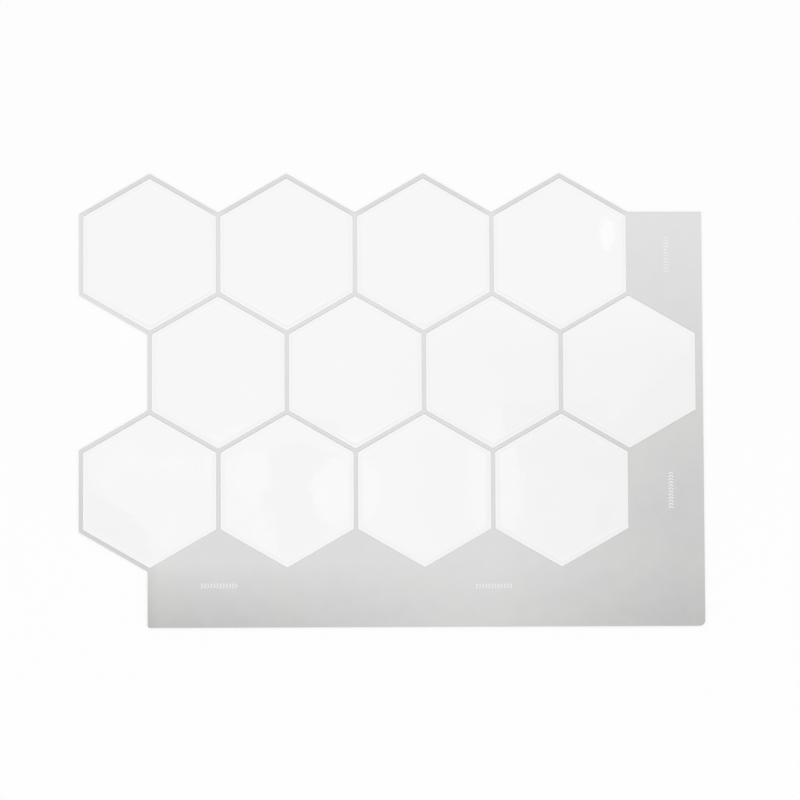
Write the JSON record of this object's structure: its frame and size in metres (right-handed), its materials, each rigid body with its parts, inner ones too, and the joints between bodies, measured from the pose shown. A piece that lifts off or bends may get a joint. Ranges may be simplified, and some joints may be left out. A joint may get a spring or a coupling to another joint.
{
  "type": "peel and stick backsplash tile",
  "caption": "Self-adhesive wall tile sheet: rows of glossy domed hexagon tiles on a grout-coloured film with an L-shaped overlap flap and a peel-off backing.",
  "frame": {"origin": "middle of the sheet's outline box, on the underside of the release liner, which lies on the floor", "axes": "+X along the rows towards the side flap; +Y up the sheet, away from the bottom flap; +Z out of the tile faces"},
  "size_m": [0.3024, 0.2203, 0.0021],
  "materials": {
    "gel": "clear gloss",
    "film": "satin",
    "liner": "matt"
  },
  "bodies": {
    "root": {"release_liner": "liner", "printed_film": "film", "gel_tile_r1_c1": "gel", "gel_tile_r1_c2": "gel", "gel_tile_r1_c3": "gel", "gel_tile_r1_c4": "gel", "gel_tile_r2_c1": "gel", "gel_tile_r2_c2": "gel", "gel_tile_r2_c3": "gel", "gel_tile_r2_c4": "gel", "gel_tile_r3_c1": "gel", "gel_tile_r3_c2": "gel", "gel_tile_r3_c3": "gel", "gel_tile_r3_c4": "gel"}
  },
  "joints": []
}
